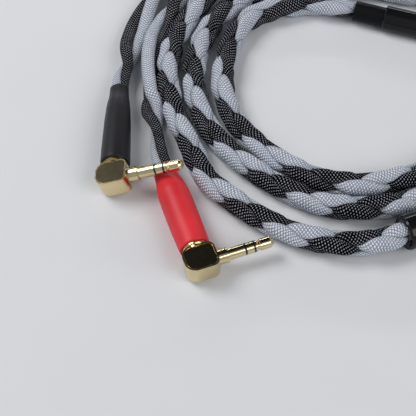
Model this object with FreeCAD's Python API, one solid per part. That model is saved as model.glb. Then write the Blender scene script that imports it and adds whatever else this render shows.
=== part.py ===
"""Braided stereo cable: two right-angle 3.5 mm plugs, a splitter and a straight 3.5 mm plug.

Millimetres, +Z up, floor at z = 0. The cable lies in loose rings on the floor. The origin is
the middle of the plugs and the splitter, seen from above. Places on the floor are given from
the spot that the picture is centred on, because they were read off the picture there.
"""
import FreeCAD, Part
import math
import os

from FreeCAD import Vector

# Where the middle of the picture falls on the floor, from the origin.
VIEW_X = -32.19
VIEW_Y = -28.38

# Cords
BRAID_D = 7.8           # round braid of four sleeved wires
LEG_D = 6.2             # loose pair of sleeved wires
FLAT_CUT = 0.5          # depth of the flat that the rings rest on
BRAID_Z = BRAID_D / 2 - FLAT_CUT
LEG_Z = LEG_D / 2
STEP = 2.0
CABLE_LIFT = 0.6        # rise of the braid just before the thicker splitter
ARC_SHARE = 0.45        # share of a straight run that the arc at each of its ends may take
WIRE_D = 2.5            # sleeved wire where a boot squeezes it
CORE_D = 1.3            # insulated wire without its sleeve

# Standard 3.5 mm stereo pin, from its shoulder
PIN_R = 1.75
SLEEVE_END = 5.1
RING_START = 5.7
RING_END = 7.8
TIP_START = 8.4
PIN_LENGTH = 14.0
GAP = 0.02              # between nested pin parts
SLEEVE_BORE_R = 1.30
RING_TUBE_R = 0.93
RING_BORE_R = 0.75
TIP_ROD_R = 0.50
# Tip: (distance from the shoulder, radius) of its land, groove, body and blunt nose
TIP_PROFILE = [(TIP_START, 1.68), (8.95, 1.68), (9.2, 1.3), (9.45, 1.3), (9.85, 1.72),
               (12.9, 1.72), (13.5, 1.4), (13.85, 1.0), (PIN_LENGTH, 0.6)]

# Right-angle plug, from the crossing of its pin and cable axes
HEAD_X = 10.0
HEAD_Y = 8.6
HEAD_Z = 6.7
HEAD_WALL = 1.1
HEAD_FLOOR = 0.9
LOWER_EDGE_R = 0.7
BACK_CORNER_R = 3.4
PIN_CORNER_R = 2.2
COVER_T = 0.8
COVER_RIM = 0.5
COVER_SUNK = 0.12
COLLAR_R = 2.3
COLLAR_LENGTH = 3.0
SHOULDER = HEAD_X / 2 + COLLAR_LENGTH
SPIGOT_R = 2.0
SPIGOT_LENGTH = 1.6
TAIL_R = 3.2
TAIL_BORE_R = 2.4
TAIL_START = 3.6
TAIL_END = 9.5
NECK_R = 4.0
NECK_STEP = 0.4
NECK_RIM = 0.7
NECK_END = 5.3

# Where the pin's nested parts end inside the head, and its solder lugs
OUTER_INSULATOR_BACK = 2.8
RING_BACK = 1.95
INNER_INSULATOR_BACK = 0.6
TIP_BACK = -0.6
LUG_T = 0.4
LUG_W = 1.2
LUG_END = 3.1
RING_LUG_X = 2.05
RING_LUG_R = 1.6
TIP_LUG_X = -0.18
TIP_LUG_R = 1.3

# Heat-shrink boot on the tail: (distance from the plug's centre, outer radius)
BOOT_PROFILE = [(NECK_END, 4.55), (8.0, 4.6), (14.0, 4.45), (23.0, 4.25), (27.5, 4.1), (31.0, 3.7),
                (33.5, 3.4), (36.8, 3.2)]
BOOT_END = BOOT_PROFILE[-1][0]
BOOT_WALL = 0.5
BOOT_STEP = 2.0         # from the tail's end to where the boot's bore has narrowed
WIRE_SPREAD = 1.3       # each wire's axis to the boot's axis
BARED_AT = 10.5         # where the wires leave their sleeves
BARED_START = 2.0
BARED_OFFSETS = (1.28, -0.88)

# Straight plug, from its shoulder
FLANGE_R = 4.3
FLANGE_LENGTH = 1.7
SHOULDER_RING_R = 2.6
SHOULDER_RING = 0.8
THREAD_R = 3.50
THREAD_LENGTH = 4.0
NECK_BORE_R = 2.7
BODY_FRONT_T = 1.0
EDGE = 0.3
BARREL_R = 4.3
BARREL_LENGTH = 23.0
THREAD_BORE_R = 3.55
BARREL_BORE_R = 3.65
LINER_R = 3.60
LINER_WALL = 0.3
LINER_START = 6.2
LINER_END = 16.5
RELIEF_R = 3.50
RELIEF_BORE_R = 3.15
RELIEF_INSIDE = 2.2
RELIEF_OUTSIDE = 10.5
CLAMP_R = 2.5
CLAMP_BORE_R = 2.1
CLAMP_START = -21.5
CLAMP_END = -17.5
CLAMP_SLOT_W = 1.2
STRIP_START = -18.5
STRIP_END = -5.0
STRIP_W = 1.8
STRIP_T = 0.5
AMP_SPIGOT_LENGTH = 0.6
AMP_OUTER_BACK = -3.4
AMP_RING_BACK = -5.0
AMP_INNER_BACK = -6.2
AMP_TIP_BACK = -7.4
AMP_LUG_T = 0.3
AMP_LUG_TAIL = 2.0
AMP_RING_LUG_X = -4.4
AMP_RING_LUG_R = 1.7
AMP_TIP_LUG_X = -6.9
AMP_TIP_LUG_R = 1.2
AMP_WIRES_END = -9.2
AMP_WIRE_SPREAD = 1.85  # sleeved, from the cable's axis
AMP_CORE_SPREAD = 1.35  # bared, from the cable's axis
BARREL_FRONT = -SHOULDER_RING - FLANGE_LENGTH - 0.1
BARREL_BACK = BARREL_FRONT - BARREL_LENGTH
AMP_SHOULDER = RELIEF_OUTSIDE - BARREL_BACK
AMP_Z = FLANGE_R + 0.1

# Splitter, from its cable end
SPLIT_R = 5.3
SPLIT_BORE_R = 4.8
SPLIT_LENGTH = 30.0
SPLIT_SLEEVE_R = 4.75
SPLIT_SLEEVE_BORE_R = 4.45
SPLIT_EDGE_X = 0.5
SPLIT_EDGE_R = 0.35
SPLIT_SLEEVE_INSET = 0.3
SPLIT_WIRE_R = 1.8
SPLIT_WIRE_SPREAD = 2.6
WIRE_TURNS = (45, 135, 225, 315)
LEG_SPREAD = 3.25       # from the splitter's axis to each leg's axis
LEG_START_RUN = 7.0     # straight out of a boot
LEG_END_RUN = 14.0      # straight into the splitter

# Where things lie: x, y from the picture's middle, height of the axis, turns in degrees
LEFT_PLUG = dict(x=-28.4, y=7.5, z=5.05, yaw=0.6, pitch=-0.8, roll=-17.8)
RIGHT_PLUG = dict(x=-2.05, y=-22.65, z=4.85, yaw=18.6, pitch=-1.4, roll=-2.0)
AMP_CABLE_END = (51.0, 80.9)
AMP_HEADING = -19.0
AMP_BEND = (29.0, 84.9)    # where the inner ring turns down towards that plug
AMP_BEND_HEADING = 189.0
SPLIT_CABLE_END = (57.0, -12.9)
SPLIT_HEADING = 22.0

# Free legs, from the boot to the splitter: x, y from the picture's middle, height of the axis.
# The first and last points are the boot's end and the splitter's end.
LEFT_LEG_POINTS = [
    (-28.3, 57.0, LEG_Z), (-26.0, 73.0, LEG_Z), (-20.5, 89.5, LEG_Z), (-10.5, 104.5, LEG_Z),
    (4.5, 115.5, LEG_Z), (23.0, 121.8, LEG_Z), (42.0, 123.2, LEG_Z), (61.5, 121.5, LEG_Z),
    (81.5, 116.5, LEG_Z), (100.0, 108.5, LEG_Z), (115.5, 96.5, LEG_Z), (127.5, 79.5, LEG_Z),
    (133.5, 58.5, LEG_Z), (132.0, 37.5, LEG_Z), (123.5, 19.5, LEG_Z), (111.0, 7.8, LEG_Z),
]
RIGHT_LEG_POINTS = [
    (-18.2, 26.5, LEG_Z), (-21.3, 40.5, LEG_Z), (-22.0, 56.0, LEG_Z), (-19.0, 72.0, LEG_Z),
    (-12.5, 87.5, LEG_Z), (-2.5, 100.5, LEG_Z), (9.5, 109.5, LEG_Z), (24.0, 115.0, LEG_Z),
    (41.5, 116.3, LEG_Z), (60.0, 114.6, LEG_Z), (78.5, 110.0, LEG_Z), (96.0, 102.4, LEG_Z),
    (110.5, 91.4, LEG_Z), (121.0, 76.5, LEG_Z), (126.8, 58.0, LEG_Z), (125.6, 39.5, LEG_Z),
    (119.0, 25.5, LEG_Z), (108.5, 15.0, LEG_Z),
]
# Last quarter of the outer ring, which droops towards the splitter: x, y, height, heading
RING_TAIL = [(2.6, 6.4, BRAID_Z, -48.5), (30.0, -14.7, BRAID_Z + CABLE_LIFT, -24.0)]

X_AXIS = Vector(1, 0, 0)
Y_AXIS = Vector(0, 1, 0)
Z_AXIS = Vector(0, 0, 1)
ORIGIN = Vector(0, 0, 0)


def at(x, y, z):
    """A place given from the picture's middle, in the part's own frame."""
    return Vector(x + VIEW_X, y + VIEW_Y, z)


def heading(degrees):
    return Vector(math.cos(math.radians(degrees)), math.sin(math.radians(degrees)), 0)


def rod(x0, x1, radius, y=0.0, z=0.0):
    """Cylinder along X."""
    return Part.makeCylinder(radius, x1 - x0, Vector(x0, y, z), X_AXIS)


def tube(x0, x1, outer, inner):
    return rod(x0, x1, outer).cut(rod(x0 - 1, x1 + 1, inner))


def turned(points, axis=X_AXIS):
    """Solid of revolution about X, or about Y, from (distance along, radius) pairs."""
    if axis is X_AXIS:
        wire = Part.makePolygon([Vector(a, r, 0) for a, r in points + points[:1]])
    else:
        wire = Part.makePolygon([Vector(r, a, 0) for a, r in points + points[:1]])
    return Part.Face(wire).revolve(ORIGIN, axis, 360)


# The pin that every plug carries

def sleeve_contact(shoulder, collar_r, collar_length, spigot_r, spigot_length):
    """Outer contact: pin barrel, collar behind the shoulder and a spigot pressed in the plug."""
    back = shoulder - collar_length
    body = rod(shoulder, shoulder + SLEEVE_END, PIN_R)
    body = body.fuse(rod(back, shoulder, collar_r))
    body = body.fuse(rod(back - spigot_length, back, spigot_r))
    bore = rod(back - spigot_length - 1, shoulder + SLEEVE_END + 1, SLEEVE_BORE_R)
    return body.cut(bore).removeSplitter()


def flanged_tube(x0, flange0, flange1, outer, inner):
    """Long tube that ends in a full-width ring, which shows on the pin."""
    body = rod(x0, flange1, outer).fuse(rod(flange0, flange1, PIN_R))
    return body.cut(rod(x0 - 1, flange1 + 1, inner)).removeSplitter()


def outer_insulator(shoulder, back):
    return flanged_tube(back, shoulder + SLEEVE_END, shoulder + RING_START,
                        SLEEVE_BORE_R - GAP, RING_TUBE_R + GAP)


def ring_contact(shoulder, back):
    return flanged_tube(back, shoulder + RING_START, shoulder + RING_END,
                        RING_TUBE_R, RING_BORE_R)


def inner_insulator(shoulder, back):
    return flanged_tube(back, shoulder + RING_END, shoulder + TIP_START,
                        RING_BORE_R - GAP, TIP_ROD_R + GAP)


def tip_contact(shoulder, back):
    """Rod with the waisted tip: short land, groove, body, cone and a rounded end."""
    rod_part = [(back, 0), (back, TIP_ROD_R), (shoulder + TIP_START, TIP_ROD_R)]
    tip = [(shoulder + along, radius) for along, radius in TIP_PROFILE]
    return turned(rod_part + tip + [(shoulder + PIN_LENGTH, 0)])


def lug(x0, hole_r, outer_r, tail_end):
    """Solder lug: washer on a contact's back end with a flat tail along Y."""
    washer = tube(x0, x0 + LUG_T, outer_r, hole_r)
    root = outer_r - LUG_T
    tail = Part.makeBox(LUG_T, tail_end - root, LUG_W, Vector(x0, root, -LUG_W / 2))
    return washer.fuse(tail).removeSplitter()


# Right-angle plug: pin along +X, cable along +Y

def head_outline(inset, z):
    """Rounded square, rounder on the side away from the pin."""
    x0, x1 = -HEAD_X / 2 + inset, HEAD_X / 2 - inset
    y0, y1 = -HEAD_Y / 2 + inset, HEAD_Y / 2 - inset
    back = BACK_CORNER_R - inset
    front = max(PIN_CORNER_R - inset, 0.4)
    corners = [(x1, y0, front, -90), (x1, y1, front, 0), (x0, y1, back, 90), (x0, y0, back, 180)]
    arcs = []
    for x, y, r, start in corners:
        cx = x - r if x > 0 else x + r
        cy = y - r if y > 0 else y + r
        spots = [Vector(cx, cy, z) + heading(start + step) * r for step in (0, 45, 90)]
        arcs.append(Part.Arc(*spots).toShape())
    edges = []
    for arc, following in zip(arcs, arcs[1:] + arcs[:1]):
        edges.append(arc)
        edges.append(Part.LineSegment(arc.lastVertex().Point, following.firstVertex().Point).toShape())
    return Part.Wire(Part.__sortEdges__(edges))


def head_block(inset, z0, z1):
    return Part.Face(head_outline(inset, z0)).extrude(Vector(0, 0, z1 - z0))


def plug_body():
    """Cast right-angle housing, open on top, with the tail that the wires enter."""
    half = HEAD_Z / 2
    shell = head_block(0, -half, half)
    lower = [e for e in shell.Edges if e.BoundBox.ZMax < -half + 0.01]
    shell = shell.makeFillet(LOWER_EDGE_R, lower)
    root = Vector(0, TAIL_START, 0)
    tail = Part.makeCylinder(TAIL_R, TAIL_END - TAIL_START, root, Y_AXIS)
    neck = Part.makeCylinder(NECK_R - NECK_STEP, NECK_END - TAIL_START, root, Y_AXIS)
    collar = Part.makeCylinder(NECK_R, NECK_RIM, Vector(0, NECK_END - NECK_RIM, 0), Y_AXIS)
    shell = shell.fuse([tail, neck, collar])
    shell = shell.cut(head_block(HEAD_WALL, -half + HEAD_FLOOR, half))
    shell = shell.cut(head_block(COVER_RIM, half - COVER_T, half + 1))
    shell = shell.cut(Part.makeCylinder(TAIL_BORE_R, TAIL_END, ORIGIN, Y_AXIS))
    shell = shell.cut(rod(0, HEAD_X, SPIGOT_R + GAP))
    return shell.removeSplitter()


def plug_cover():
    """Flat polished plate pressed into the top of the housing, a hair below its rim."""
    half = HEAD_Z / 2
    plate = head_block(COVER_RIM + GAP, half - COVER_T + GAP, half - COVER_SUNK)
    top = [e for e in plate.Edges if e.BoundBox.ZMin > half - COVER_SUNK - 0.01]
    return plate.makeChamfer(COVER_SUNK, top)


def plug_boot():
    """Heat-shrink tube over the tail and the ends of the wires."""
    end_bore = BOOT_PROFILE[-1][1] - BOOT_WALL
    inner = [(BOOT_END, end_bore), (TAIL_END + BOOT_STEP, end_bore),
             (TAIL_END + GAP, TAIL_R + GAP), (NECK_END, TAIL_R + GAP)]
    return turned(BOOT_PROFILE + inner, Y_AXIS)


def plug_wires():
    """Two sleeved wires inside the boot, bared where they go through the tail."""
    wires = []
    for side, offset in zip((1, -1), BARED_OFFSETS):
        spot = Vector(side * WIRE_SPREAD, BARED_AT, 0)
        sleeved = Part.makeCylinder(WIRE_D / 2, BOOT_END - BARED_AT, spot, Y_AXIS)
        spot = Vector(offset, BARED_START, 0)
        bared = Part.makeCylinder(CORE_D / 2, BARED_AT - BARED_START, spot, Y_AXIS)
        wires.append(sleeved.fuse(bared).removeSplitter())
    return Part.makeCompound(wires)


def right_angle_plug():
    s = SHOULDER
    ring_hole = RING_TUBE_R + GAP
    tip_hole = TIP_ROD_R + GAP
    return {
        "plug_body": plug_body(),
        "plug_cover": plug_cover(),
        "sleeve_contact": sleeve_contact(s, COLLAR_R, COLLAR_LENGTH, SPIGOT_R, SPIGOT_LENGTH),
        "outer_insulator": outer_insulator(s, OUTER_INSULATOR_BACK),
        "ring_contact": ring_contact(s, RING_BACK),
        "inner_insulator": inner_insulator(s, INNER_INSULATOR_BACK),
        "tip_contact": tip_contact(s, TIP_BACK),
        "ring_lug": lug(RING_LUG_X, ring_hole, RING_LUG_R, LUG_END),
        "tip_lug": lug(TIP_LUG_X, tip_hole, TIP_LUG_R, LUG_END),
        "boot": plug_boot(),
        "plug_wires": plug_wires(),
    }


def place_plug(shape, spot):
    """Rolls the plug about its cable axis, pitches the cable end down, turns and moves it."""
    shape = shape.copy()
    shape.rotate(ORIGIN, Y_AXIS, spot["roll"])
    shape.rotate(ORIGIN, X_AXIS, spot["pitch"])
    shape.rotate(ORIGIN, Z_AXIS, spot["yaw"])
    shape.translate(at(spot["x"], spot["y"], spot["z"]))
    return shape


def boot_exit(spot):
    """Centre of the boot's cable end and the direction in which the leg leaves it."""
    tip = place_plug(Part.Vertex(0, BOOT_END, 0), spot).Point
    centre = at(spot["x"], spot["y"], spot["z"])
    return tip, (tip - centre).normalize()


# Straight plug: pin along +X, cable along -X, shoulder at 0

def amp_plug_body():
    """Turned body: shoulder ring, grip flange and the neck that the barrel screws on."""
    front = -SHOULDER_RING
    back = front - FLANGE_LENGTH
    end = back - THREAD_LENGTH
    wall = front - BODY_FRONT_T
    return turned([(0, SHOULDER_RING_R), (front, SHOULDER_RING_R), (front, FLANGE_R - EDGE),
                   (front - EDGE, FLANGE_R), (back, FLANGE_R), (back, THREAD_R), (end, THREAD_R),
                   (end, NECK_BORE_R), (wall, NECK_BORE_R), (wall, SPIGOT_R + GAP),
                   (0, SPIGOT_R + GAP)])


def amp_plug_barrel():
    """Screwed barrel with a wider bore behind its thread and a chamfered cable end."""
    f, b = BARREL_FRONT, BARREL_BACK
    step = f - THREAD_LENGTH
    return turned([(f, THREAD_BORE_R), (f, BARREL_R - EDGE), (f - EDGE, BARREL_R),
                   (b + EDGE, BARREL_R), (b, BARREL_R - EDGE), (b, BARREL_BORE_R),
                   (step, BARREL_BORE_R), (step, THREAD_BORE_R)])


def amp_plug_liner():
    """Thin insulating tube that lines the barrel behind its thread."""
    front = BARREL_FRONT - LINER_START
    back = BARREL_FRONT - LINER_END
    return tube(back, front, LINER_R, LINER_R - LINER_WALL)


def amp_cable_relief():
    """Heat-shrink tube on the cable's end, in the barrel's mouth."""
    return tube(BARREL_BACK - RELIEF_OUTSIDE, BARREL_BACK + RELIEF_INSIDE, RELIEF_R, RELIEF_BORE_R)


def amp_cable_clamp():
    """Earth strip whose two arms grip the cable inside the barrel."""
    arms = tube(CLAMP_START, CLAMP_END, CLAMP_R, CLAMP_BORE_R)
    slot = Vector(CLAMP_START - 1, -CLAMP_SLOT_W / 2, 0)
    arms = arms.cut(Part.makeBox(CLAMP_END - CLAMP_START + 2, CLAMP_SLOT_W, CLAMP_R + 1, slot))
    corner = Vector(STRIP_START, -STRIP_W / 2, -CLAMP_R)
    strip = Part.makeBox(STRIP_END - STRIP_START, STRIP_W, STRIP_T, corner)
    return arms.fuse(strip).removeSplitter()


def amp_wires():
    """Four wires: sleeved in the heat-shrink tube, bared from there to the lugs."""
    start = BARREL_BACK - RELIEF_OUTSIDE
    bend = BARREL_BACK + RELIEF_INSIDE
    wires = []
    for turn in WIRE_TURNS:
        way = Vector(0, math.cos(math.radians(turn)), math.sin(math.radians(turn)))
        y, z = way.y * AMP_WIRE_SPREAD, way.z * AMP_WIRE_SPREAD
        sleeved = rod(start, bend, WIRE_D / 2, y, z)
        y, z = way.y * AMP_CORE_SPREAD, way.z * AMP_CORE_SPREAD
        bared = rod(bend, AMP_WIRES_END, CORE_D / 2, y, z)
        wires.append(sleeved.fuse(bared).removeSplitter())
    return Part.makeCompound(wires)


def amp_lug(x0, hole_r, outer_r):
    """Flat lug on a contact's back end, bent back along the cable."""
    washer = tube(x0, x0 + AMP_LUG_T, outer_r, hole_r)
    corner = Vector(x0 - AMP_LUG_TAIL, -LUG_W / 2, outer_r - AMP_LUG_T - GAP)
    tail = Part.makeBox(AMP_LUG_TAIL + AMP_LUG_T / 2, LUG_W, AMP_LUG_T, corner)
    return washer.fuse(tail).removeSplitter()


def amp_plug():
    return {
        "amp_plug_body": amp_plug_body(),
        "amp_sleeve_contact": sleeve_contact(0, SPIGOT_R, SHOULDER_RING + BODY_FRONT_T, SPIGOT_R,
                                             AMP_SPIGOT_LENGTH),
        "amp_outer_insulator": outer_insulator(0, AMP_OUTER_BACK),
        "amp_ring_contact": ring_contact(0, AMP_RING_BACK),
        "amp_inner_insulator": inner_insulator(0, AMP_INNER_BACK),
        "amp_tip_contact": tip_contact(0, AMP_TIP_BACK),
        "amp_ring_lug": amp_lug(AMP_RING_LUG_X, RING_TUBE_R + GAP, AMP_RING_LUG_R),
        "amp_tip_lug": amp_lug(AMP_TIP_LUG_X, TIP_ROD_R + GAP, AMP_TIP_LUG_R),
        "amp_cable_clamp": amp_cable_clamp(),
        "amp_plug_liner": amp_plug_liner(),
        "amp_plug_barrel": amp_plug_barrel(),
        "amp_cable_relief": amp_cable_relief(),
        "amp_wires": amp_wires(),
    }


def place_amp(shape):
    """Puts the straight plug where its cable end meets the braid."""
    shape = shape.copy()
    shape.translate(Vector(AMP_SHOULDER, 0, 0))
    shape.rotate(ORIGIN, Z_AXIS, AMP_HEADING)
    shape.translate(at(AMP_CABLE_END[0], AMP_CABLE_END[1], AMP_Z))
    return shape


# Splitter: cable end at 0, legs leave at the other end along +X

def splitter_barrel():
    """Outer tube with slightly sunken edges, which show as a rim."""
    lip = SPLIT_R - SPLIT_EDGE_R
    return turned([(0, SPLIT_BORE_R), (0, lip), (SPLIT_EDGE_X, SPLIT_R),
                   (SPLIT_LENGTH - SPLIT_EDGE_X, SPLIT_R), (SPLIT_LENGTH, lip),
                   (SPLIT_LENGTH, SPLIT_BORE_R)])


def splitter_sleeve():
    """Soft liner that fills the tube around the wires."""
    return tube(SPLIT_SLEEVE_INSET, SPLIT_LENGTH - SPLIT_SLEEVE_INSET, SPLIT_SLEEVE_R,
                SPLIT_SLEEVE_BORE_R)


def splitter_wires():
    """The four wires pass through the splitter uncut."""
    wires = []
    for turn in WIRE_TURNS:
        way = Vector(0, math.cos(math.radians(turn)), math.sin(math.radians(turn)))
        y, z = way.y * SPLIT_WIRE_SPREAD, way.z * SPLIT_WIRE_SPREAD
        wires.append(rod(0, SPLIT_LENGTH, SPLIT_WIRE_R, y, z))
    return Part.makeCompound(wires)


def place_splitter(shape):
    shape = shape.copy()
    shape.rotate(ORIGIN, Z_AXIS, SPLIT_HEADING)
    shape.translate(at(SPLIT_CABLE_END[0], SPLIT_CABLE_END[1], SPLIT_R))
    return shape


def leg_start(side):
    """Centre of a leg at the splitter's end face: side +1 is nearer the rings' middle."""
    u = heading(SPLIT_HEADING)
    across = heading(SPLIT_HEADING + 90)
    base = at(SPLIT_CABLE_END[0], SPLIT_CABLE_END[1], SPLIT_R)
    return base + u * SPLIT_LENGTH + across * (side * LEG_SPREAD), u


# Cords

def leg_route(spot, points, side):
    """Route of a leg from its boot, through the hand-chosen points, to the splitter."""
    start, out = boot_exit(spot)
    end, back = leg_start(side)
    middle = [at(*p) for p in points]
    return [start, start + out * LEG_START_RUN] + middle + [end + back * LEG_END_RUN, end]


def rounded_path(points):
    """Straight runs joined by tangent arcs, each arc as large as its two runs allow."""
    edges = []
    radii = []
    at_point = points[0]
    for before, corner, after in zip(points, points[1:], points[2:]):
        a = (before - corner).normalize()
        b = (after - corner).normalize()
        half = (math.pi - a.getAngle(b)) / 2
        cut = ARC_SHARE * min(corner.distanceToPoint(before), corner.distanceToPoint(after))
        radii.append(cut / math.tan(half))
        first = corner + a * cut
        last = corner + b * cut
        middle = corner + (a + b).normalize() * (radii[-1] / math.cos(half) - radii[-1])
        edges.append(Part.LineSegment(at_point, first).toShape())
        edges.append(Part.Arc(first, middle, last).toShape())
        at_point = last
    edges.append(Part.LineSegment(at_point, points[-1]).toShape())
    return Part.Wire(edges), radii


def swept(path, diameter):
    """Round solid along a path."""
    start = path.Edges[0].firstVertex(True).Point
    way = path.Edges[0].tangentAt(path.Edges[0].FirstParameter)
    circle = Part.Wire(Part.Circle(start, way, diameter / 2).toShape())
    return path.makePipeShell([circle], True, False)


def leg(name, spot, points, side):
    path, radii = rounded_path(leg_route(spot, points, side))
    solid = swept(path, LEG_D)
    expected = path.Length * math.pi * LEG_D ** 2 / 4
    print(name, "length %.0f" % path.Length, "volume ratio %.4f" % (solid.Volume / expected),
          "radii", " ".join("%.0f" % r for r in radii))
    return solid


def ring_side(name, turn):
    """Where a ring crosses one side of the coil, and its heading there.

    The rings fan out at the bottom right, where nothing ties them, and lie close on the left.
    """
    sides = {
        "left": (5.3 - 9.3 * turn, 49.5, -90),
        "bottom": (64.0, 11.2 - 9.9 * turn, 20 + 2 * turn),
        "right": (106.5 + 11.4 * turn, 58.0 - 6.0 * turn, 100 - 8 * turn),
        "top": (32.0 - turn, 85.6 + 10.4 * turn, 186),
    }
    x, y, way = sides[name]
    return at(x, y, BRAID_Z), heading(way)


def coil_stations():
    """Points and directions, a quarter turn apart, from the straight plug to the splitter."""
    start = at(AMP_CABLE_END[0], AMP_CABLE_END[1], AMP_Z)
    out = heading(AMP_HEADING + 180)
    stations = [(start, out), (start + out * BRAID_D, out)]
    stations.append((at(*AMP_BEND, BRAID_Z), heading(AMP_BEND_HEADING)))
    for turn in range(2):
        for side in ("left", "bottom", "right"):
            stations.append(ring_side(side, turn))
        stations.append(ring_side("top", turn + 1))
    stations.append(ring_side("left", 2))
    for x, y, z, way in RING_TAIL:
        stations.append((at(x, y, z), heading(way)))
    end = at(SPLIT_CABLE_END[0], SPLIT_CABLE_END[1], SPLIT_R)
    way = heading(SPLIT_HEADING)
    stations += [(end - way * BRAID_D, way), (end, way)]
    return stations


def biarc(p0, u, p1, v):
    """Two tangent arcs that leave p0 along u and reach p1 along v."""
    d = p1 - p0
    a = 2 * u.dot(v) - 2
    b = -2 * d.dot(u + v)
    c = d.dot(d)
    reach = (-b - math.sqrt(b * b - 4 * a * c)) / (2 * a)
    q0 = p0 + u * reach
    q1 = p1 - v * reach
    joint = (q0 + q1) * 0.5
    edges = []
    for first, corner, last in ((p0, q0, joint), (joint, q1, p1)):
        a = (first - corner).normalize()
        b = (last - corner).normalize()
        half = (math.pi - a.getAngle(b)) / 2
        radius = reach / math.tan(half)
        middle = corner + (a + b).normalize() * (radius / math.cos(half) - radius)
        edges.append(Part.Arc(first, middle, last).toShape())
    return edges


def main_cable():
    """Loose rings of braid in one unbroken tube, cut flat where they rest on the floor."""
    edges = []
    stations = coil_stations()
    for index, ((p0, u), (p1, v)) in enumerate(zip(stations, stations[1:])):
        if index in (0, len(stations) - 2):
            edges.append(Part.LineSegment(p0, p1).toShape())
        else:
            edges += biarc(p0, u, p1, v)
    path = Part.Wire(edges)
    solid = swept(path, BRAID_D)
    expected = path.Length * math.pi * BRAID_D ** 2 / 4
    print("main_cable length %.0f" % path.Length, "volume ratio %.4f" % (solid.Volume / expected),
          "least gap to itself %.2f" % least_gap(path),
          "radii", " ".join("%.0f" % e.Curve.Radius for e in edges if hasattr(e.Curve, "Radius")))
    below = Part.makeBox(400, 400, 10, Vector(-200, -200, -10))
    return solid.cut(below)


def least_gap(path):
    """Smallest gap between turns, measured on points that are STEP apart on the centre line."""
    points = path.discretize(int(path.Length / STEP))
    apart = int(15 * BRAID_D / STEP)
    least = path.Length
    for i, p in enumerate(points):
        for q in points[i + apart:]:
            least = min(least, p.distanceToPoint(q))
    return least - BRAID_D


def main():
    os.makedirs("parts", exist_ok=True)
    nodes = {}
    for side, spot in (("left", LEFT_PLUG), ("right", RIGHT_PLUG)):
        for name, shape in right_angle_plug().items():
            nodes[side + "_" + name] = place_plug(shape, spot)
    for name, shape in amp_plug().items():
        nodes[name] = place_amp(shape)
    nodes["splitter_barrel"] = place_splitter(splitter_barrel())
    nodes["splitter_sleeve"] = place_splitter(splitter_sleeve())
    nodes["splitter_wires"] = place_splitter(splitter_wires())
    nodes["left_leg"] = leg("left_leg", LEFT_PLUG, LEFT_LEG_POINTS, -1)
    nodes["right_leg"] = leg("right_leg", RIGHT_PLUG, RIGHT_LEG_POINTS, 1)
    nodes["main_cable"] = main_cable()
    for name, shape in nodes.items():
        shape.exportStep("parts/%s.step" % name)


main()
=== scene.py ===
"""Braided stereo cable with two right-angle plugs, a splitter and a straight plug: its looks.

Metres, +Z up, floor at z = 0. Places on the floor are given from the middle of the picture.
"""
import math

import bmesh
import bpy
from bpy.props import FloatProperty, FloatVectorProperty, PointerProperty
from mathutils import Matrix, Vector, noise


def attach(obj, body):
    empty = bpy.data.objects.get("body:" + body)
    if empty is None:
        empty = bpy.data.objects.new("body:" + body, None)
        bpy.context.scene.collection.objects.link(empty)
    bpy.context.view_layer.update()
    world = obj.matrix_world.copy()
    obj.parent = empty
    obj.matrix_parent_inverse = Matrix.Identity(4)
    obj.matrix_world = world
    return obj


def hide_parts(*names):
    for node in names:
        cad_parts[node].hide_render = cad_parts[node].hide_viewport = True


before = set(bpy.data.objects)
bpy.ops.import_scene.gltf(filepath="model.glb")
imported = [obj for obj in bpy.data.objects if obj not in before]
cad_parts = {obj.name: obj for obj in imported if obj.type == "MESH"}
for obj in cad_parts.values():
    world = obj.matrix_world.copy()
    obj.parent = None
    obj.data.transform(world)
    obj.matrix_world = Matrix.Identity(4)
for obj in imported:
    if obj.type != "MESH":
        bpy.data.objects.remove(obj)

bl_info = {
    "name": "Braided Stereo Cable",
    "version": (1, 0, 0),
    "blender": (4, 5, 0),
    "location": "View3D > Sidebar > Cable",
    "description": "Dresses a braided stereo cable with its plugs, boots and splitter",
    "category": "Object",
}

UP = Vector((0, 0, 1))
VIEW = Vector((-0.03219, -0.02838, 0))      # where the middle of the picture falls on the floor
CAMERA_ELEVATION = math.radians(54.5)
CAMERA_DISTANCE = 0.2976
CAMERA_LENS = 85.0
SENSOR_WIDTH = 36.0

# Rings: x, y of the innermost turn, then how far each further turn lies outside it
RING_POINTS = [
    (0.0141, 0.0783, -0.0093, 0.0020), (0.0085, 0.0682, -0.0099, 0.0005),
    (0.0054, 0.0574, -0.0095, 0.0001), (0.0044, 0.0465, -0.0090, 0.0001),
    (0.0065, 0.0358, -0.0089, -0.0007), (0.0113, 0.0261, -0.0084, -0.0028),
    (0.0189, 0.0175, -0.0066, -0.0043), (0.0276, 0.0107, -0.0045, -0.0065),
    (0.0379, 0.0063, -0.0023, -0.0084), (0.0491, 0.0058, -0.0001, -0.0086),
    (0.0603, 0.0085, 0.0009, -0.0084), (0.0720, 0.0128, 0.0023, -0.0090),
    (0.0845, 0.0193, 0.0050, -0.0087), (0.0956, 0.0292, 0.0084, -0.0080),
    (0.1034, 0.0415, 0.0103, -0.0058), (0.1070, 0.0555, 0.0112, -0.0030),
    (0.1060, 0.0680, 0.0110, 0.0015), (0.0985, 0.0790, 0.0090, 0.0060),
    (0.0860, 0.0862, 0.0060, 0.0086), (0.0710, 0.0900, 0.0030, 0.0098),
    (0.0540, 0.0935, 0.0010, 0.0102), (0.0370, 0.0960, -0.0010, 0.0102),
    (0.0215, 0.0935, -0.0020, 0.0102), (0.0125, 0.0875, -0.0100, 0.0080),
]
TURN_SPREAD = (0.0, 1.03, 1.96)
CABLE_START = [(0.0510, 0.0809), (0.0425, 0.0838), (0.0330, 0.0850), (0.0235, 0.0826)]
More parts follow.
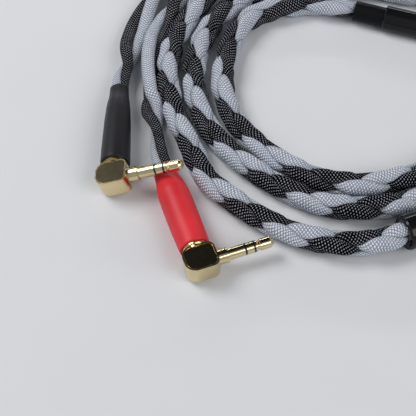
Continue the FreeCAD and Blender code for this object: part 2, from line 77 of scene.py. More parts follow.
CABLE_END = [
    (-0.0015, 0.0087), (0.0057, 0.0017), (0.0132, -0.0048), (0.0214, -0.0104),
    (0.0301, -0.0143), (0.0397, -0.0161), (0.0488, -0.0162), (0.0570, -0.0129),
]
CABLE_Z = 0.0039
# Heights of the first and the last points, where the braid is in the straight plug and the splitter
START_HEIGHTS = [0.0044, 0.0044]
END_HEIGHTS = [0.0045, 0.0048, 0.0053, 0.0053]
LAST_TURN_POINTS = 6            # ring points of the outermost turn before it leaves the rings
EASES_FROM = 16                 # from this ring point on a turn's spread eases to a whole number,
EASES_OVER = 8                  # over so many points
# Distance along the braid at which each pair of silver wires lies uppermost, and its number
SILVER_PAIRS = [
    (0.0045, 0), (0.0385, 1), (0.0735, 2), (0.1075, 3), (0.1395, 4), (0.361, 11), (0.3875, 12),
    (0.4185, 13), (0.446, 14), (0.474, 15), (0.715, 23), (0.745, 24), (0.7725, 25), (0.8010, 26),
    (0.8290, 27), (0.857, 28),
]
SLEEVE_SIDES = 14
SLEEVE_ROWS = 10
STEP = 0.0009                   # between the sections of a sleeve
WRAP_RADIUS = 0.0038            # curve of a braided wire's flat sides round the braid
LEG_WRAP = 0.02
# Share that wires lose of their width under the others and between crossings, and gain in thickness
PRESSED = 0.30
GATHERED = 0.04
SWOLLEN = 0.35
STRAIGHT = 2.0                  # how long a wire stays on top before it goes under
FULL_WIDTH, FULL_THICKNESS = 0.85, 0.78     # powers that make a wire's section fuller than an oval
FLOOR_GAP, BOOT_FLOOR_GAP = 0.00008, 0.00003
LEAN_BETWEEN = 0.45             # how far a wire faces sideways where it goes under
START_SQUEEZE = 0.30            # share by which the straight plug's tube squeezes the braid
SQUEEZE_LENGTH = 0.010
# Tilt of the braid's two rows of leaves towards its right side, in degrees, by distance along it
BRAID_TILT = [(0.0, -30), (0.02, -15), (0.05, 10), (0.08, 26)]

# Legs: x, y from the boot to the splitter
LEFT_LEG_POINTS = [
    (-0.0268, 0.0565), (-0.0250, 0.0730), (-0.0196, 0.0895), (-0.0105, 0.1045), (0.0045, 0.1155),
    (0.0230, 0.1218), (0.0420, 0.1232), (0.0615, 0.1215), (0.0815, 0.1165), (0.1000, 0.1085),
    (0.1155, 0.0965), (0.1275, 0.0795), (0.1335, 0.0585), (0.1320, 0.0375), (0.1235, 0.0195),
    (0.1110, 0.0078),
]
RIGHT_LEG_POINTS = [
    (-0.0162, 0.0265), (-0.0186, 0.0405), (-0.0198, 0.0560), (-0.0174, 0.0712), (-0.0114, 0.0862),
    (-0.0012, 0.0992), (0.0095, 0.1090), (0.0240, 0.1150), (0.0415, 0.1163), (0.0600, 0.1146),
    (0.0785, 0.1100), (0.0960, 0.1024), (0.1105, 0.0914), (0.1210, 0.0765), (0.1268, 0.0580),
    (0.1256, 0.0395), (0.1190, 0.0255), (0.1085, 0.0150),
]
LEG_Z = 0.0031
# Twist of each leg: distance from the boot and the turn of its silver wire, in degrees
LEFT_TWIST = [(0.006, 165), (0.012, 195), (0.017, 240), (0.0195, 270), (0.024, 310), (0.032, 350),
              (0.040, 385), (0.050, 420), (0.062, 450), (0.085, 500)]
RIGHT_TWIST = [(0.006, 180), (0.012, 205), (0.0225, 270), (0.0285, 335), (0.0325, 390), (0.036, 440),
               (0.048, 462), (0.059, 487), (0.066, 515), (0.073, 570), (0.081, 640)]
# Over which distance from its start each leg loosens from the bundle in its boot
LEFT_LOOSENS = (0.010, 0.028)
RIGHT_LOOSENS = (0.014, 0.045)
# The same from its end in the splitter
END_LOOSENS = (0.004, 0.018)
BUNDLE_ACROSS = 0.0012          # from the middle of the bundle to each wire, sideways and upwards
BUNDLE_UP = 0.0019
BUNDLE_WIRE = 0.72              # share of its width that a wire keeps in the bundle
LEG_FLATTENING = 0.90           # a leg wire's thickness against its width
WIRE_REST = 0.93                # height of a wire's middle on the floor, in half widths
WIRE_CLIMB = 1.55               # how much higher it lies on the other wire, in half widths
CLIMB_POWER = 1.5
FAR_PART = 0.08                 # from this distance on the legs' twist is even,
TWIST_PITCH = 0.075             # with turns about this long
UPRIGHT = 90                    # turn at which the silver wire lies on the black one
IN_BOOT = 0.006                 # how far a leg reaches into its boot
BEYOND_BOOT = 0.005
IN_SPLITTER = 0.003
BEFORE_SPLITTER = 0.013
ACROSS_IN_SPLITTER = 0.0019
ACROSS_BEFORE_SPLITTER = 0.0028

LEFT_PLUG = dict(x=-0.0284, y=0.0075, z=0.00505, yaw=0.6, pitch=-0.8, roll=-17.8)
RIGHT_PLUG = dict(x=-0.00205, y=-0.02265, z=0.00485, yaw=18.6, pitch=-1.4, roll=-2.0)
BOOT_START = 0.0053
BOOT_END = 0.0368
SPLIT_CABLE_END = (0.0570, -0.0129)
SPLIT_HEADING = 22.0
SPLIT_R = 0.0053
SPLIT_LENGTH = 0.030

# Boots: distance from the plug's middle and radius of the red and the black one
RED_OUTLINE = [
    (0.0053, 0.00455), (0.0066, 0.00468), (0.0100, 0.00478), (0.0150, 0.00486), (0.0215, 0.00490),
    (0.0265, 0.00478), (0.0296, 0.00425), (0.0318, 0.00370), (0.0335, 0.00345), (0.0352, 0.00340),
    (0.0368, 0.00335),
]
BLACK_OUTLINE = [
    (0.0053, 0.00455), (0.0066, 0.00460), (0.0110, 0.00455), (0.0170, 0.00440), (0.0225, 0.00420),
    (0.0270, 0.00395), (0.0300, 0.00365), (0.0322, 0.00325), (0.0340, 0.00305), (0.0368, 0.00300),
]
BOOT_WALL = 0.0006
BOOT_TURNED_IN = 0.003          # how far the wall shows inside the cable end
BOOT_BORE = 0.00405             # radius that the plug's tail fills
BOOT_ROWS = 70
BOOT_SIDES = 56
PINCH_START = 0.026             # from here on the tubing is shrunk flat over the two wires
PINCH_WIDENS, PINCH_FLATTENS = 0.05, 0.12
# Height of its folds and of its broad unevenness, as shares of the radius, and how often they come
FOLD, FOLD_ROUND, FOLD_ALONG = 0.075, 1.3, 260
BROAD, BROAD_ROUND, BROAD_ALONG = 0.016, 0.6, 90

# Sleeve pattern: how fast a stitch fades sideways and lengthways, and how far it leans
STITCH_SIDEWAYS, STITCH_LENGTHWAYS, STITCH_LEAN = 18.0, 17.0, 14.0
PATCH_SCALE, PATCH_DEPTH = 300.0, 0.7
STITCH_FLOOR = -0.4             # depth at which the gaps between stitches end
STITCH_HEIGHT = 0.00030
# Stitch levels at which the base colour ends and the full painted glint begins, and the sleeves' gloss
SILVER_EDGES, SILVER_GLOSS = (0.0, 0.08), 0.5
BLACK_EDGES, BLACK_GLOSS = (0.32, 0.80), 0.0

# Studio: even light with a dark patch high behind the object, which the polished plates mirror
SKY, DARK_SKY = (0.80, 0.82, 0.86), (0.03, 0.03, 0.035)
SKY_STRENGTH = 0.48
DARK_ELEVATION = math.radians(58)
DARK_EDGES = (0.60, 0.86)
FLOOR_HALF = 12.0
# Lamps: name, place from the middle of the picture, length, width and power
LAMPS = (
    ("key_lamp", (-0.55, 0.24, 0.75), 0.50, 0.50, 5.2),
    ("fill_lamp", (0.60, -0.45, 0.60), 0.60, 0.60, 3.4),
    ("strip_lamp", (0.0, 0.85, 0.31), 0.80, 0.05, 1.2),
)


# Sizes and colours that a user may change

class CableSizes(bpy.types.PropertyGroup):
    braid_reach: FloatProperty(
        name="Braid reach",
        description="From the braid's axis to the middle of a wire that lies on the others",
        default=0.00280, unit="LENGTH")
    braid_drift: FloatProperty(
        name="Braid drift",
        description="From the braid's axis to the middle of a wire that lies under another",
        default=0.00110, unit="LENGTH")
    wire_width: FloatProperty(
        name="Wire width", description="Width of a sleeved wire where it lies flat in the braid",
        default=0.0055, unit="LENGTH")
    wire_thickness: FloatProperty(
        name="Wire thickness",
        description="Thickness of a sleeved wire where it lies flat in the braid",
        default=0.00190, unit="LENGTH")
    leg_wire: FloatProperty(
        name="Leg wire width", description="Width of a sleeved wire in a leg",
        default=0.0044, unit="LENGTH")
    stitch: FloatProperty(
        name="Stitch length", description="Length of one stitch of the wires' sleeves",
        default=0.00098, unit="LENGTH")


class CableColours(bpy.types.PropertyGroup):
    silver: FloatVectorProperty(
        name="Silver sleeve", description="Base colour of the silver sleeves",
        default=(0.27, 0.305, 0.40), subtype="COLOR")
    # Painted glint: the light that the raised stitches of the silver sleeves catch, painted in this
    # colour
    silver_glint: FloatVectorProperty(
        name="Silver fleck", description="Colour of the raised stitches of the silver sleeves",
        default=(0.93, 0.965, 1.0), subtype="COLOR")
    black: FloatVectorProperty(
        name="Black sleeve", description="Base colour of the black sleeves",
        default=(0.0015, 0.0015, 0.003), subtype="COLOR")
    # Painted glint: the light that the raised stitches of the black sleeves catch, painted in this
    # colour
    black_glint: FloatVectorProperty(
        name="Black fleck", description="Colour of the raised stitches of the black sleeves",
        default=(0.38, 0.385, 0.43), subtype="COLOR")
    gold: FloatVectorProperty(
        name="Gold", description="Colour of the gold plating",
        default=(0.78, 0.655, 0.39), subtype="COLOR")
    red_boot: FloatVectorProperty(
        name="Red boot", description="Colour of the right plug's boot",
        default=(0.72, 0.030, 0.040), subtype="COLOR")
    black_boot: FloatVectorProperty(
        name="Black boot", description="Colour of the left plug's boot and other black tubing",
        default=(0.012, 0.012, 0.015), subtype="COLOR")
    floor: FloatVectorProperty(
        name="Floor", description="Colour of the floor",
        default=(0.72, 0.73, 0.75), subtype="COLOR")


# Materials

class Nodes:
    """Short way to add and join shader nodes of one material."""

    def __init__(self, name, roughness=0.5, metallic=0.0):
        self.material = bpy.data.materials.new(name)
        self.material.use_nodes = True
        self.tree = self.material.node_tree
        self.shader = self.tree.nodes["Principled BSDF"]
        self.shader.inputs["Roughness"].default_value = roughness
        self.shader.inputs["Metallic"].default_value = metallic

    def add(self, kind, values=None, **settings):
        node = self.tree.nodes.new(kind)
        for key, value in settings.items():
            setattr(node, key, value)
        for key, value in (values or {}).items():
            if isinstance(value, bpy.types.NodeSocket):
                self.tree.links.new(value, node.inputs[key])
            else:
                node.inputs[key].default_value = value
        return node

    def math(self, operation, a, b=0.0):
        return self.add("ShaderNodeMath", {0: a, 1: b}, operation=operation).outputs[0]

    def object_noise(self, scale, detail=2.0):
        place = self.add("ShaderNodeTexCoord").outputs["Object"]
        values = {"Vector": place, "Scale": scale, "Detail": detail}
        return self.add("ShaderNodeTexNoise", values).outputs["Fac"]

    def ramp(self, factor, low, high, dark, light):
        """Two-colour ramp between the factor's low and high values."""
        node = self.add("ShaderNodeValToRGB", {"Fac": factor})
        first, last = node.color_ramp.elements
        first.position, last.position = low, high
        first.color, last.color = (*dark, 1), (*light, 1)
        return node.outputs["Color"]

    def colour(self, socket):
        self.tree.links.new(socket, self.shader.inputs["Base Color"])

    def roughness(self, socket):
        self.tree.links.new(socket, self.shader.inputs["Roughness"])

    def bump(self, height, strength, distance):
        values = {"Height": height, "Strength": strength, "Distance": distance}
        node = self.add("ShaderNodeBump", values)
        self.tree.links.new(node.outputs["Normal"], self.shader.inputs["Normal"])


def sleeve_material(name, base, glint, edges, gloss):
    """Tubular sleeve of fine yarns: raised stitches in staggered rows along the wire, each crown
    painted with a glint.
    """
    n = Nodes(name, roughness=0.50)
    place = n.add("ShaderNodeAttribute", attribute_name="weave").outputs["Vector"]
    split = n.add("ShaderNodeSeparateXYZ", {"Vector": place})
    angle = n.math("ARCTAN2", split.outputs["Y"], split.outputs["X"])
    across = n.math("MULTIPLY", angle, SLEEVE_ROWS / (2 * math.pi))
    first = n.math("ADD", across, split.outputs["Z"])
    second = n.math("SUBTRACT", across, split.outputs["Z"])
    parity = n.math("ADD", n.math("FLOOR", first), n.math("FLOOR", second))
    lean = n.math("PINGPONG", parity, 1.0)
    lean = n.math("SUBTRACT", n.math("MULTIPLY", lean, 2.0), 1.0)
    u = n.math("SUBTRACT", n.math("FRACT", first), 0.5)
    v = n.math("SUBTRACT", n.math("FRACT", second), 0.5)
    sideways = n.math("MULTIPLY", n.math("ADD", u, v), 0.5)
    lengthways = n.math("MULTIPLY", n.math("SUBTRACT", u, v), 0.5)
    far = n.math("ADD", n.math("MULTIPLY", n.math("MULTIPLY", sideways, sideways), STITCH_SIDEWAYS),
                 n.math("MULTIPLY", n.math("MULTIPLY", lengthways, lengthways), STITCH_LENGTHWAYS))
    slant = n.math("MULTIPLY", n.math("MULTIPLY", sideways, lengthways),
                   n.math("MULTIPLY", lean, STITCH_LEAN))
    height = n.math("SUBTRACT", 1.0, n.math("ADD", far, slant))
    patch = n.object_noise(PATCH_SCALE, 3.0)
    level = n.math("ADD", height, n.math("MULTIPLY", n.math("SUBTRACT", patch, 0.5), PATCH_DEPTH))
    # Painted glint: each stitch's crown is painted from the base colour towards the glint colour
    n.colour(n.ramp(level, *edges, base, glint))
    n.bump(n.math("MAXIMUM", height, STITCH_FLOOR), 0.8, STITCH_HEIGHT)
    n.shader.inputs["Specular IOR Level"].default_value = gloss
    return n.material


def gold_material(name, colour, roughness, grain):
    """Gold plating with faint polishing marks and slightly uneven gloss."""
    n = Nodes(name, metallic=1.0)
    fine = n.object_noise(900.0, 2.0)
    broad = n.object_noise(120.0, 2.0)
    n.colour(n.ramp(broad, 0.35, 0.70, [c * 0.90 for c in colour], colour))
    n.roughness(n.math("ADD", n.math("MULTIPLY", fine, 0.12), roughness - 0.04))
    n.bump(fine, grain, 0.00005)
    return n.material


def tubing_material(name, colour, roughness, gloss=0.5):
    """Heat-shrunk tubing: even colour with a fine grain and soft stretch marks along it."""
    n = Nodes(name)
    n.shader.inputs["Specular IOR Level"].default_value = gloss
    broad = n.object_noise(90.0, 3.0)
    fine = n.object_noise(1500.0, 2.0)
    n.colour(n.ramp(broad, 0.30, 0.75, [c * 0.86 for c in colour], [min(c * 1.10, 1) for c in colour]))
    n.roughness(n.math("ADD", n.math("MULTIPLY", broad, 0.16), roughness - 0.08))
    n.bump(fine, 0.25, 0.00008)
    return n.material


def gloss_material(name, colour, roughness, scale=400.0, gloss=0.5, coat=0.3):
    """Moulded or lacquered gloss with faint unevenness."""
    n = Nodes(name)
    broad = n.object_noise(scale, 2.0)
    n.colour(n.ramp(broad, 0.3, 0.8, [c * 0.85 for c in colour], colour))
    n.roughness(n.math("ADD", n.math("MULTIPLY", broad, 0.08), roughness - 0.04))
    n.shader.inputs["Specular IOR Level"].default_value = gloss
    n.shader.inputs["Coat Weight"].default_value = coat
    n.bump(broad, 0.05, 0.00005)
    return n.material


def dress(nodes, material):
    for name in nodes:
        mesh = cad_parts[name].data
        mesh.materials.clear()
        mesh.materials.append(material)


# Routes

def at(x, y, z=0.0):
    """A place given from the middle of the picture."""
    return VIEW + Vector((x, y, z))


def heading(degrees):
    return Vector((math.cos(math.radians(degrees)), math.sin(math.radians(degrees)), 0))


def placed(spot):
    """Where a right-angle plug lies, as a matrix."""
    turn = Matrix.Rotation(math.radians(spot["yaw"]), 4, "Z")
    pitch = Matrix.Rotation(math.radians(spot["pitch"]), 4, "X")
    roll = Matrix.Rotation(math.radians(spot["roll"]), 4, "Y")
    return Matrix.Translation(at(spot["x"], spot["y"], spot["z"])) @ turn @ pitch @ roll


def smooth_line(points):
    """Points close together on the smooth spline that has the given control points."""
    curve = bpy.data.curves.new("route", "CURVE")
    curve.dimensions = "3D"
    curve.resolution_u = 40
    spline = curve.splines.new("NURBS")
    spline.points.add(len(points) - 1)
    for spot, point in zip(spline.points, points):
        spot.co = (*point, 1)
    spline.order_u = 3
    spline.use_endpoint_u = True
    carrier = bpy.data.objects.new("route", curve)
    mesh = bpy.data.meshes.new_from_object(carrier)
    line = [v.co.copy() for v in mesh.vertices]
    bpy.data.objects.remove(carrier)
    bpy.data.curves.remove(curve)
    bpy.data.meshes.remove(mesh)
    return line


def even_steps(line, step):
    """The same line in even steps, with the distance of each from the start."""
    total = sum((b - a).length for a, b in zip(line, line[1:]))
    count = int(round(total / step))
    step = total / count
    out = [line[0].copy()]
    walked = 0.0
    for a, b in zip(line, line[1:]):
        piece = (b - a).length
        while len(out) <= count and walked + piece >= len(out) * step - 1e-9:
            share = (len(out) * step - walked) / max(piece, 1e-9)
            out.append(a.lerp(b, min(share, 1.0)))
        walked += piece
    return out, [i * step for i in range(len(out))]


def sections(points):
    """Direction, sideways and upward unit vectors at each point of a line."""
    out = []
    for i, point in enumerate(points):
        way = (points[min(i + 1, len(points) - 1)] - points[max(i - 1, 0)]).normalized()
        up = (UP - way * UP.dot(way)).normalized()
        out.append((point, way, way.cross(up), up))
    return out


def eased(x):
    x = max(0.0, min(1.0, x))
    return x * x * (3 - 2 * x)


def eased_between(x, limits):
    return eased((x - limits[0]) / (limits[1] - limits[0]))


def between_knots(knots, x):
    """Value at x on the broken line through the knots; beyond the last knot, its value."""
    for (x0, v0), (x1, v1) in zip(knots, knots[1:]):
        if x <= x1:
            return v0 + (v1 - v0) * (x - x0) / (x1 - x0)
    return knots[-1][1]


def fuller(x, power):
    return math.copysign(abs(x) ** power, x)


def put_in_order(bm, axis):
    """Orders a spun mesh's points along the axis, outwards and round; spin's own order varies."""
    across, up = [i for i in range(3) if i != axis]
    order = sorted(bm.verts, key=lambda v: (
        round(v.co[axis], 6), round(math.hypot(v.co[across], v.co[up]), 6),
        math.atan2(v.co[up], v.co[across])))
    for rank, v in enumerate(order):
        v.index = rank
    bm.verts.sort(key=lambda v: v.index)


def steady_mesh(name, bm):
    """The bmesh as a mesh whose faces, too, come in the same order each run."""
    bm.verts.index_update()
    faces = []
    for f in bm.faces:
        loop = [v.index for v in f.verts]
        start = loop.index(min(loop))
        faces.append((loop[start:] + loop[:start], f.material_index))
    faces.sort()
    mesh = bpy.data.meshes.new(name)
    mesh.from_pydata([v.co for v in bm.verts], [], [loop for loop, material in faces])
    mesh.polygons.foreach_set("material_index", [material for loop, material in faces])
    mesh.shade_smooth()
    layer = bm.verts.layers.float_vector.get("weave")
    if layer:
        weave = mesh.attributes.new("weave", "FLOAT_VECTOR", "POINT")
        weave.data.foreach_set("vector", [value for v in bm.verts for value in v[layer]])
    bm.free()
    return mesh


def sleeve_tube(bm, spots, wrap, material, stitch):
    """Sweeps an oval along spots: (centre, outward direction, half width, half thickness).

    Its flat sides wrap round a core of the radius given by wrap. The weave attribute keeps the
    place round the sleeve and the number of stitches along it.
    """
    tube = bmesh.new()
    bmesh.ops.create_circle(tube, cap_ends=False, segments=SLEEVE_SIDES, radius=1.0)
    bmesh.ops.spin(tube, geom=tube.verts[:] + tube.edges[:], cent=(0, 0, 0), axis=(0, 0, 1),
                   dvec=(0, 0, 1), angle=0.0, steps=len(spots) - 1)
    bmesh.ops.holes_fill(tube, edges=tube.edges, sides=SLEEVE_SIDES)
    put_in_order(tube, 2)
    layer = tube.verts.layers.float_vector.new("weave")
    frames = []
    walked = 0.0
    for i, (centre, outward, half_width, half_thick) in enumerate(spots):
        way = (spots[min(i + 1, len(spots) - 1)][0] - spots[max(i - 1, 0)][0]).normalized()
        normal = (outward - way * outward.dot(way)).normalized()
        if i:
            walked += (centre - spots[i - 1][0]).length
        frames.append((centre, way.cross(normal), normal, half_width, half_thick, walked / stitch))
    for v in tube.verts:
        centre, across, normal, half_width, half_thick, along = frames[round(v.co.z)]
        wide = fuller(v.co.x, FULL_WIDTH) * half_width
        thick = fuller(v.co.y, FULL_THICKNESS) * half_thick
        v[layer] = Vector((v.co.x, v.co.y, along))
        v.co = centre + across * wide + normal * (thick - wide * wide / (2 * wrap))
    for f in tube.faces:
        f.material_index = material
        f.smooth = True
    bmesh.ops.recalc_face_normals(tube, faces=tube.faces)
    # The recalculation can take a wire that winds round others for inside out
    if tube.calc_volume(signed=True) < 0:
        bmesh.ops.reverse_faces(tube, faces=tube.faces)
    carrier = bpy.data.meshes.new("sleeve")
    tube.to_mesh(carrier)
    tube.free()
    bm.from_mesh(carrier)
    bpy.data.meshes.remove(carrier)


def rest_on_floor(bm, height=FLOOR_GAP):
    for v in bm.verts:
        v.co.z = max(v.co.z, height)


def finish_piece(name, bm, materials, replaced):
    """Turns a bmesh into a piece that rides with the cable and stands for a CAD node."""
    mesh = steady_mesh(name, bm)
    for material in materials:
        mesh.materials.append(material)
    piece = bpy.data.objects.new(name, mesh)
    bpy.context.scene.collection.objects.link(piece)
    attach(piece, "cable")
    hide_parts(replaced)
    return piece


def sleeves():
    colours = bpy.context.scene.cable_colours
    silver = bpy.data.materials.get("silver_sleeve") or sleeve_material(
        "silver_sleeve", colours.silver, colours.silver_glint, SILVER_EDGES, SILVER_GLOSS)
    black = bpy.data.materials.get("black_sleeve") or sleeve_material(
        "black_sleeve", colours.black, colours.black_glint, BLACK_EDGES, BLACK_GLOSS)
    return [silver, black]


def main_route():
    """Control points of the braid, from the straight plug through the rings to the splitter."""
    flat = list(CABLE_START)
    last_turn = len(TURN_SPREAD) - 1
    for turn, spread in enumerate(TURN_SPREAD):
        count = len(RING_POINTS) if turn < last_turn else LAST_TURN_POINTS
        for index, (x, y, dx, dy) in enumerate(RING_POINTS[:count]):
            spread_here = spread
            if index > EASES_FROM and turn < last_turn:
                ease = eased((index - EASES_FROM) / EASES_OVER)
                spread_here = turn + (spread - turn) * (1 - ease)
            flat.append((x + dx * spread_here, y + dy * spread_here))
    flat += CABLE_END
    rings = len(flat) - len(START_HEIGHTS) - len(END_HEIGHTS)
    heights = START_HEIGHTS + [CABLE_Z] * rings + END_HEIGHTS
    return [at(x, y, z) for (x, y), z in zip(flat, heights)]


def braid_turn(s):
    """Turn of the braid at a distance along it, with each silver pair uppermost in its place."""
    for (s0, n0), (s1, n1) in zip(SILVER_PAIRS, SILVER_PAIRS[1:]):
        if s <= s1:
            break
    return 2 * math.pi * (n0 + (n1 - n0) * (s - s0) / (s1 - s0) + 0.25)


class OBJECT_OT_main_cable(bpy.types.Operator):
    """Braids four sleeved wires along the rings"""
    bl_idname = "cable.main_cable"
    bl_label = "Main cable"

    def execute(self, context):
        sizes = context.scene.cable_sizes
        line = smooth_line(main_route())
        points, walked = even_steps(line, STEP)
        marks = sections(points)
        bm = bmesh.new()
        for wire in range(4):
            spots = []
            for (centre, way, side, up), s in zip(marks, walked):
                turn = braid_turn(s)
                tilt = math.radians(between_knots(BRAID_TILT, s))
                squeeze = 1 - START_SQUEEZE * (1 - eased(s / SQUEEZE_LENGTH))
                slant = math.pi / 4 if wire % 2 == 0 else -math.pi / 4
                phase = turn - slant + math.pi * (wire // 2)
                over, past = math.cos(phase), math.sin(phase)
                first, second = tilt + math.pi / 2 - slant, tilt + math.pi / 2 + slant
                rise = side * math.sin(first) + up * math.cos(first)
                drift = side * math.sin(second) + up * math.cos(second)
                reach = math.tanh(STRAIGHT * over) / math.tanh(STRAIGHT)
                middle = rise * sizes.braid_reach * reach + drift * sizes.braid_drift * past
                outward = (rise * over + drift * LEAN_BETWEEN * past).normalized()
                between = 4 * over * over * past * past
                half_width = sizes.wire_width / 2 * (1 - PRESSED * past * past - GATHERED * between)
                half_thick = sizes.wire_thickness / 2 * (1 + SWOLLEN * between)
                spots.append((centre + middle * squeeze, outward, half_width * squeeze,
                              half_thick * squeeze))
            sleeve_tube(bm, spots, WRAP_RADIUS, wire // 2, sizes.stitch)
        rest_on_floor(bm)
        piece = finish_piece("main_cable_braid", bm, sleeves(), "main_cable")
        return {"FINISHED"}


def twist_at(knots, s, total, end_turn):
    """Turn of a leg's silver wire at a distance from the boot."""
    return math.radians(between_knots([(0.0, knots[0][1])] + knots + [(total, end_turn)], s))


def leg_route(spot, points, side):
    place = placed(spot)
    start = place @ Vector((0, BOOT_END - IN_BOOT, 0))
    mouth = place @ Vector((0, BOOT_END, 0))
    out = (mouth - start).normalized()
    way = heading(SPLIT_HEADING)
    across = heading(SPLIT_HEADING + 90)
    split = at(*SPLIT_CABLE_END, SPLIT_R)
    end = split + way * (SPLIT_LENGTH - IN_SPLITTER) + across * (side * ACROSS_IN_SPLITTER)
    before = split + way * (SPLIT_LENGTH + BEFORE_SPLITTER) + across * (side * ACROSS_BEFORE_SPLITTER)
    middle = [at(x, y, LEG_Z) for x, y in points]
    return [start, mouth + out * BEYOND_BOOT] + middle + [before, end], mouth


class OBJECT_OT_legs(bpy.types.Operator):
    """Twists the two sleeved wires of each leg from its boot to the splitter"""
    bl_idname = "cable.legs"
    bl_label = "Legs"

    def execute(self, context):
        sizes = context.scene.cable_sizes
        half = sizes.leg_wire / 2
        for name, spot, points, side, knots, loosens in (
                ("left_leg", LEFT_PLUG, LEFT_LEG_POINTS, -1, LEFT_TWIST, LEFT_LOOSENS),
                ("right_leg", RIGHT_PLUG, RIGHT_LEG_POINTS, 1, RIGHT_TWIST, RIGHT_LOOSENS)):
            route, mouth = leg_route(spot, points, side)
            line = smooth_line(route)
            points_here, walked = even_steps(line, STEP)
            marks = sections(points_here)
            total = walked[-1]
            end_turn = UPRIGHT + 360 * round((total - FAR_PART) / TWIST_PITCH + 1)
            bm = bmesh.new()
            for wire in range(2):
                spots = []
                for (centre, way, across, up), s in zip(marks, walked):
                    turn = twist_at(knots, s, total, end_turn) + wire * math.pi
                    loose = min(eased_between(s, loosens), eased_between(total - s, END_LOOSENS))
                    rise = math.sin(turn)
                    height = half * WIRE_REST + half * WIRE_CLIMB * max(0.0, rise) ** CLIMB_POWER
                    beside = across * math.cos(turn)
                    gathered = centre + beside * BUNDLE_ACROSS + up * (BUNDLE_UP * rise)
                    free = centre + beside * half + up * (height - centre.z)
                    middle = gathered.lerp(free, loose)
                    tight = BUNDLE_WIRE + (1 - BUNDLE_WIRE) * loose
                    spots.append((middle, up, half * tight, half * LEG_FLATTENING * tight))
                sleeve_tube(bm, spots, LEG_WRAP, wire, sizes.stitch)
            rest_on_floor(bm)
            piece = finish_piece(name + "_wires", bm, sleeves(), name)
        return {"FINISHED"}


class OBJECT_OT_plugs(bpy.types.Operator):
    """Finishes the metal, insulators and inner parts of the three plugs"""
    bl_idname = "cable.plugs"
    bl_label = "Plugs"

    def execute(self, context):
        colours = context.scene.cable_colours
        gold = list(colours.gold)
        cast = gold_material("gold_housing", gold, 0.16, 0.10)
        plate = gold_material("gold_plate", gold, 0.07, 0.02)
        turned = gold_material("gold_pin", gold, 0.12, 0.04)
        rings = gloss_material("black_insulator", (0.010, 0.010, 0.011), 0.25)
        tinned = gold_material("tinned_lug", [0.62, 0.60, 0.56], 0.35, 0.10)
        inner = tubing_material("wire_insulation", (0.05, 0.05, 0.055), 0.55)
        for side in ("left_", "right_"):
            dress([side + "plug_body"], cast)
            dress([side + "plug_cover"], plate)
            dress([side + n for n in ("sleeve_contact", "ring_contact", "tip_contact")], turned)
            dress([side + n for n in ("outer_insulator", "inner_insulator")], rings)
            dress([side + n for n in ("ring_lug", "tip_lug")], tinned)
            dress([side + "plug_wires"], inner)
        dress(["amp_plug_body"], cast)
        dress(["amp_sleeve_contact", "amp_ring_contact", "amp_tip_contact"], turned)
        dress(["amp_outer_insulator", "amp_inner_insulator"], rings)
        dress(["amp_ring_lug", "amp_tip_lug", "amp_cable_clamp"], tinned)
        dress(["amp_wires", "splitter_wires"], inner)
        barrel = gloss_material("black_lacquer", (0.008, 0.008, 0.009), 0.12, scale=150.0, gloss=0.25,
                                coat=0.0)
        dress(["amp_plug_barrel", "splitter_barrel"], barrel)
        dress(["amp_plug_liner"], gloss_material("clear_liner", (0.62, 0.62, 0.60), 0.35))
        # Painted shade: the strain relief's tubing is a darker copy of the black boot's tubing, at
        # half its colour
        black_boot_painted_shade = [0.5 * c for c in colours.black_boot]
        dress(["amp_cable_relief"], tubing_material("black_tubing_painted_shade", black_boot_painted_shade, 0.36, gloss=0.12))
        dress(["splitter_sleeve"], tubing_material("grey_lining", (0.10, 0.115, 0.14), 0.5))
        return {"FINISHED"}


def unevenness(angle, y, seed, often_round, often_along):
    """Smooth noise on the boot, at an angle round it and a distance along it."""
    across, up = math.cos(angle) * often_round + seed, math.sin(angle) * often_round
    return noise.noise(Vector((across, up, y * often_along)))


def boot_mesh(spot, outline, wrinkle, seed):
    """Tubing shrunk over a plug's tail, pinched and creased at its cable end."""
    bm = bmesh.new()
    outer = []
    for i in range(BOOT_ROWS + 1):
        y = BOOT_START + (BOOT_END - BOOT_START) * i / BOOT_ROWS
        outer.append((y, between_knots(outline, y)))
    mouth = outer[-1][1] - BOOT_WALL
    inner = [(BOOT_END, mouth), (BOOT_END - BOOT_TURNED_IN, mouth), (BOOT_START, BOOT_BORE)]
    verts = [bm.verts.new((r, y, 0)) for y, r in outer + inner]
    edges = [bm.edges.new(pair) for pair in zip(verts, verts[1:] + verts[:1])]
    bmesh.ops.spin(bm, geom=verts + edges, axis=(0, 1, 0), cent=(0, 0, 0), angle=2 * math.pi,
                   steps=BOOT_SIDES, use_merge=True)
    bmesh.ops.remove_doubles(bm, verts=bm.verts, dist=1e-7)
    put_in_order(bm, 1)
    for v in bm.verts:
        share = eased_between(v.co.y, (PINCH_START, BOOT_END))
        angle = math.atan2(v.co.z, v.co.x)
        fold = unevenness(angle, v.co.y, seed, FOLD_ROUND, FOLD_ALONG)
        broad = unevenness(angle, v.co.y, seed, BROAD_ROUND, BROAD_ALONG)
        swell = 1 + wrinkle * (FOLD * fold * share + BROAD * broad)
        v.co.x *= swell * (1 + PINCH_WIDENS * share)
        v.co.z *= swell * (1 - PINCH_FLATTENS * share)
    for f in bm.faces:
        f.smooth = True
    bmesh.ops.recalc_face_normals(bm, faces=bm.faces)
    bmesh.ops.transform(bm, matrix=placed(spot), verts=bm.verts)
    rest_on_floor(bm, BOOT_FLOOR_GAP)
    return bm


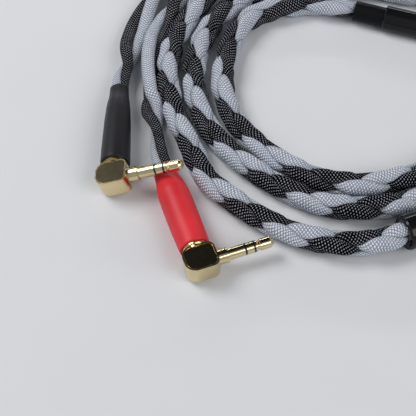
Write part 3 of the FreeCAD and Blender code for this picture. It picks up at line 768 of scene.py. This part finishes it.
class OBJECT_OT_boots(bpy.types.Operator):
    """Shrinks a boot over the tail of each right-angle plug"""
    bl_idname = "cable.boots"
    bl_label = "Boots"

    def execute(self, context):
        colours = context.scene.cable_colours
        for name, spot, outline, colour, gloss, wrinkle, seed in (
                ("left_boot", LEFT_PLUG, BLACK_OUTLINE, list(colours.black_boot), 0.3, 0.4, 3.0),
                ("right_boot", RIGHT_PLUG, RED_OUTLINE, list(colours.red_boot), 0.3, 1.0, 8.0)):
            bm = boot_mesh(spot, outline, wrinkle, seed)
            slot = "black_boot" if name == "left_boot" else "red_boot"
            finish_piece(name + "_tubing", bm, [tubing_material(slot, colour, 0.42, gloss)], name)
        return {"FINISHED"}


def shade_world(tree):
    """Even pale light all round, with a dark patch high behind the object for the plates to mirror."""
    direction = tree.nodes.new("ShaderNodeTexCoord").outputs["Generated"]
    near = tree.nodes.new("ShaderNodeVectorMath")
    near.operation = "DOT_PRODUCT"
    near.inputs[1].default_value = (0, math.cos(DARK_ELEVATION), math.sin(DARK_ELEVATION))
    tree.links.new(direction, near.inputs[0])
    ramp = tree.nodes.new("ShaderNodeValToRGB")
    first, last = ramp.color_ramp.elements
    first.position, last.position = DARK_EDGES
    first.color, last.color = (*SKY, 1), (*DARK_SKY, 1)
    tree.links.new(near.outputs["Value"], ramp.inputs["Fac"])
    background = tree.nodes["Background"]
    tree.links.new(ramp.outputs["Color"], background.inputs["Color"])
    background.inputs["Strength"].default_value = SKY_STRENGTH


class OBJECT_OT_stage(bpy.types.Operator):
    """Sets the floor, the lamps, the world and the camera"""
    bl_idname = "cable.stage"
    bl_label = "Stage"

    def execute(self, context):
        scene = context.scene
        bm = bmesh.new()
        bmesh.ops.create_grid(bm, x_segments=1, y_segments=1, size=FLOOR_HALF)
        mesh = bpy.data.meshes.new("floor")
        bm.to_mesh(mesh)
        bm.free()
        n = Nodes("floor", roughness=0.85)
        base = list(scene.cable_colours.floor)
        n.colour(n.ramp(n.object_noise(30.0, 3.0), 0.3, 0.7, [c * 0.985 for c in base], base))
        mesh.materials.append(n.material)
        floor = bpy.data.objects.new("floor", mesh)
        scene.collection.objects.link(floor)

        world = bpy.data.worlds.new("studio")
        scene.world = world
        world.use_nodes = True
        shade_world(world.node_tree)

        for name, place, length, width, power in LAMPS:
            lamp = bpy.data.lights.new(name, "AREA")
            lamp.shape = "RECTANGLE"
            lamp.size, lamp.size_y = length, width
            lamp.energy = power
            holder = bpy.data.objects.new(name, lamp)
            holder.location = VIEW + Vector(place)
            holder.rotation_euler = (-Vector(place)).to_track_quat("-Z", "Y").to_euler()
            scene.collection.objects.link(holder)

        camera = bpy.data.cameras.new("camera")
        camera.lens = CAMERA_LENS
        camera.sensor_width = SENSOR_WIDTH
        camera.clip_start = 0.01
        camera.clip_end = 20.0
        holder = bpy.data.objects.new("camera", camera)
        back = Vector((0, -math.cos(CAMERA_ELEVATION), math.sin(CAMERA_ELEVATION)))
        holder.location = VIEW + back * CAMERA_DISTANCE
        holder.rotation_euler = (-back).to_track_quat("-Z", "Y").to_euler()
        scene.collection.objects.link(holder)
        scene.camera = holder
        scene.view_settings.view_transform = "Standard"
        return {"FINISHED"}


class VIEW3D_PT_cable(bpy.types.Panel):
    """Lists the steps that build the cable"""
    bl_label = "Braided cable"
    bl_space_type = "VIEW_3D"
    bl_region_type = "UI"
    bl_category = "Cable"

    def draw(self, context):
        for step in STEPS:
            self.layout.operator(step.bl_idname)
        for group in (context.scene.cable_sizes, context.scene.cable_colours):
            for name in group.__annotations__:
                self.layout.prop(group, name)


STEPS = (OBJECT_OT_stage, OBJECT_OT_main_cable, OBJECT_OT_legs, OBJECT_OT_boots, OBJECT_OT_plugs)
CLASSES = (CableSizes, CableColours) + STEPS + (VIEW3D_PT_cable,)


def register():
    for item in CLASSES:
        bpy.utils.register_class(item)
    bpy.types.Scene.cable_sizes = PointerProperty(type=CableSizes)
    bpy.types.Scene.cable_colours = PointerProperty(type=CableColours)


def unregister():
    del bpy.types.Scene.cable_colours
    del bpy.types.Scene.cable_sizes
    for item in reversed(CLASSES):
        bpy.utils.unregister_class(item)


def main():
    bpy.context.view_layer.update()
    register()
    bpy.ops.cable.stage()
    bpy.ops.cable.main_cable()
    bpy.ops.cable.legs()
    bpy.ops.cable.boots()
    bpy.ops.cable.plugs()


if __name__ == "__main__":
    main()
